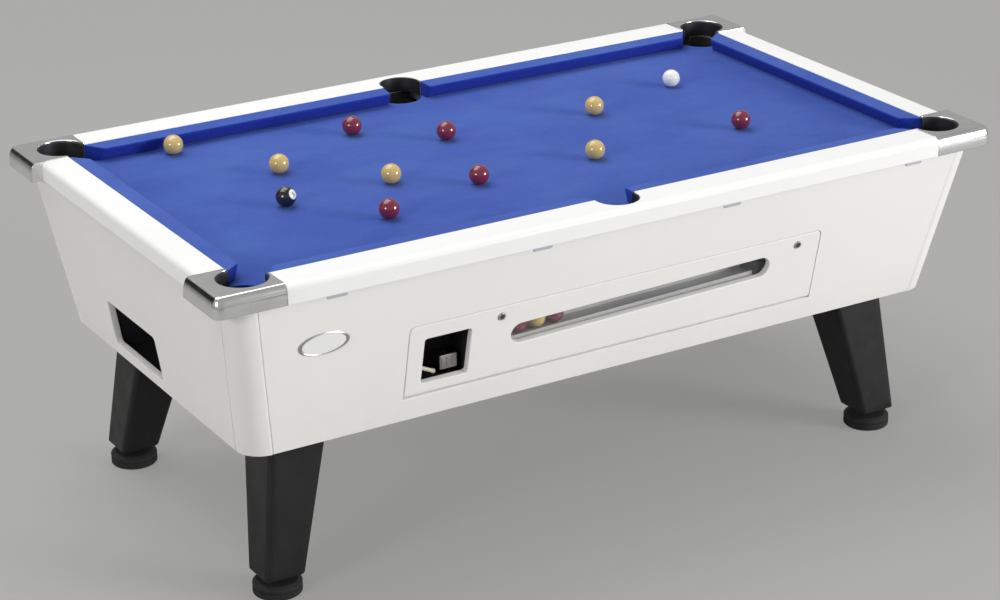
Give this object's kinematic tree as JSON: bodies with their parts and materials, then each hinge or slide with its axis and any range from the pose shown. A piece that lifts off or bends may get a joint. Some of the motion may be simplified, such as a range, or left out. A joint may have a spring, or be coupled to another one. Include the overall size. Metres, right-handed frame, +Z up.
{
  "type": "coin-operated pool table",
  "caption": "Pub pool table with a flared laminate cabinet, metal corner caps, cloth bed with pockets, coin slide, drop-down door, ball return box and levelling feet.",
  "frame": {"origin": "on the floor, below the middle of the bed", "axes": "+X along the table towards the end without the ball return, +Y towards the side opposite the coin recess, +Z up"},
  "size_m": [2.19, 1.226, 0.8651],
  "materials": {
    "laminate": "satin white laminate",
    "rail": "gloss white laminate",
    "cap_metal": "polished casting",
    "cloth": "napped wool",
    "cushion": "rubber covered in cloth",
    "slate": "ground",
    "liner": "matt black",
    "leg": "satin black",
    "foot": "matt black",
    "board": "painted plywood",
    "window": "clear acrylic",
    "housing": "matt black",
    "steel": "brushed",
    "ball_yellow": "polished",
    "ball_red": "polished",
    "ball_black": "polished",
    "ball_white": "polished"
  },
  "bodies": {
    "cabinet": {"slate_bed": "slate", "bed_cloth": "cloth", "cushion_front_left": "cushion", "cushion_front_right": "cushion", "cushion_back_left": "cushion", "cushion_back_right": "cushion", "cushion_left_end": "cushion", "cushion_right_end": "cushion", "rail_front": "rail", "rail_back": "rail", "rail_left_end": "rail", "rail_right_end": "rail", "corner_cap_front_left": "cap_metal", "corner_cap_front_right": "cap_metal", "corner_cap_back_left": "cap_metal", "corner_cap_back_right": "cap_metal", "pocket_liner_front_left": "liner", "pocket_liner_front_right": "liner", "pocket_liner_back_left": "liner", "pocket_liner_back_right": "liner", "pocket_liner_front_middle": "liner", "pocket_liner_back_middle": "liner", "panel_front": "laminate", "panel_back": "laminate", "panel_left_end": "laminate", "panel_right_end": "laminate", "corner_post_front_left": "laminate", "corner_post_front_right": "laminate", "corner_post_back_left": "laminate", "corner_post_back_right": "laminate", "base_board": "board", "leg_front_left": "leg", "leg_front_right": "leg", "leg_back_left": "leg", "leg_back_right": "leg", "coin_housing": "housing", "ball_deck": "board", "ball_tray": "board", "ball_run": "housing"},
    "door": {"door_panel": "laminate", "viewing_window": "window"},
    "left_lock": {"lock_left": "steel"},
    "right_lock": {"lock_right": "steel"},
    "slide": {"coin_slide": "steel"},
    "front_left_foot": {"foot_front_left": "foot"},
    "front_right_foot": {"foot_front_right": "foot"},
    "back_left_foot": {"foot_back_left": "foot"},
    "back_right_foot": {"foot_back_right": "foot"},
    "yellow_1": {"ball_yellow_1": "ball_yellow"},
    "yellow_2": {"ball_yellow_2": "ball_yellow"},
    "yellow_3": {"ball_yellow_3": "ball_yellow"},
    "yellow_4": {"ball_yellow_4": "ball_yellow"},
    "yellow_5": {"ball_yellow_5": "ball_yellow"},
    "red_1": {"ball_red_1": "ball_red"},
    "red_2": {"ball_red_2": "ball_red"},
    "red_3": {"ball_red_3": "ball_red"},
    "red_4": {"ball_red_4": "ball_red"},
    "red_5": {"ball_red_5": "ball_red"},
    "black": {"ball_black": "ball_black"},
    "cue": {"ball_white": "ball_white"}
  },
  "joints": [
    {"name": "door_hinge", "type": "hinge", "parent": "cabinet", "child": "door", "pos_m": [0, -0.52003, 0.47727], "axis": [1, 0, 0], "range_deg": [0, 90]},
    {"name": "lock_left_turn", "type": "hinge", "parent": "door", "child": "left_lock", "pos_m": [-0.342, -0.56339, 0.63505], "axis": [0, 0.9768, 0.214], "range_deg": [0, 90]},
    {"name": "lock_right_turn", "type": "hinge", "parent": "door", "child": "right_lock", "pos_m": [0.52, -0.56339, 0.63505], "axis": [0, -0.9768, -0.214], "range_deg": [0, 90]},
    {"name": "coin_slide_push", "type": "slide", "parent": "cabinet", "child": "slide", "axis": [0, 1, 0], "range_m": [0, 0.05]},
    {"name": "foot_front_left_level", "type": "slide", "parent": "cabinet", "child": "front_left_foot", "axis": [0, 0, -1], "range_m": [0, 0.025]},
    {"name": "foot_front_right_level", "type": "slide", "parent": "cabinet", "child": "front_right_foot", "axis": [0, 0, -1], "range_m": [0, 0.025]},
    {"name": "foot_back_left_level", "type": "slide", "parent": "cabinet", "child": "back_left_foot", "axis": [0, 0, -1], "range_m": [0, 0.025]},
    {"name": "foot_back_right_level", "type": "slide", "parent": "cabinet", "child": "back_right_foot", "axis": [0, 0, -1], "range_m": [0, 0.025]},
    {"name": "cue_lift", "type": "slide", "parent": "cabinet", "child": "cue", "axis": [0, 0, 1], "range_m": [0, 0.15]},
    {"name": "black_lift", "type": "slide", "parent": "cabinet", "child": "black", "axis": [0, 0, 1], "range_m": [0, 0.15]},
    {"name": "yellow_1_lift", "type": "slide", "parent": "cabinet", "child": "yellow_1", "axis": [0, 0, 1], "range_m": [0, 0.15]},
    {"name": "yellow_2_lift", "type": "slide", "parent": "cabinet", "child": "yellow_2", "axis": [0, 0, 1], "range_m": [0, 0.15]},
    {"name": "yellow_3_lift", "type": "slide", "parent": "cabinet", "child": "yellow_3", "axis": [0, 0, 1], "range_m": [0, 0.15]},
    {"name": "yellow_4_lift", "type": "slide", "parent": "cabinet", "child": "yellow_4", "axis": [0, 0, 1], "range_m": [0, 0.15]},
    {"name": "yellow_5_lift", "type": "slide", "parent": "cabinet", "child": "yellow_5", "axis": [0, 0, 1], "range_m": [0, 0.15]},
    {"name": "red_1_lift", "type": "slide", "parent": "cabinet", "child": "red_1", "axis": [0, 0, 1], "range_m": [0, 0.15]},
    {"name": "red_2_lift", "type": "slide", "parent": "cabinet", "child": "red_2", "axis": [0, 0, 1], "range_m": [0, 0.15]},
    {"name": "red_3_lift", "type": "slide", "parent": "cabinet", "child": "red_3", "axis": [0, 0, 1], "range_m": [0, 0.15]},
    {"name": "red_4_lift", "type": "slide", "parent": "cabinet", "child": "red_4", "axis": [0, 0, 1], "range_m": [0, 0.15]},
    {"name": "red_5_lift", "type": "slide", "parent": "cabinet", "child": "red_5", "axis": [0, 0, 1], "range_m": [0, 0.15]}
  ]
}
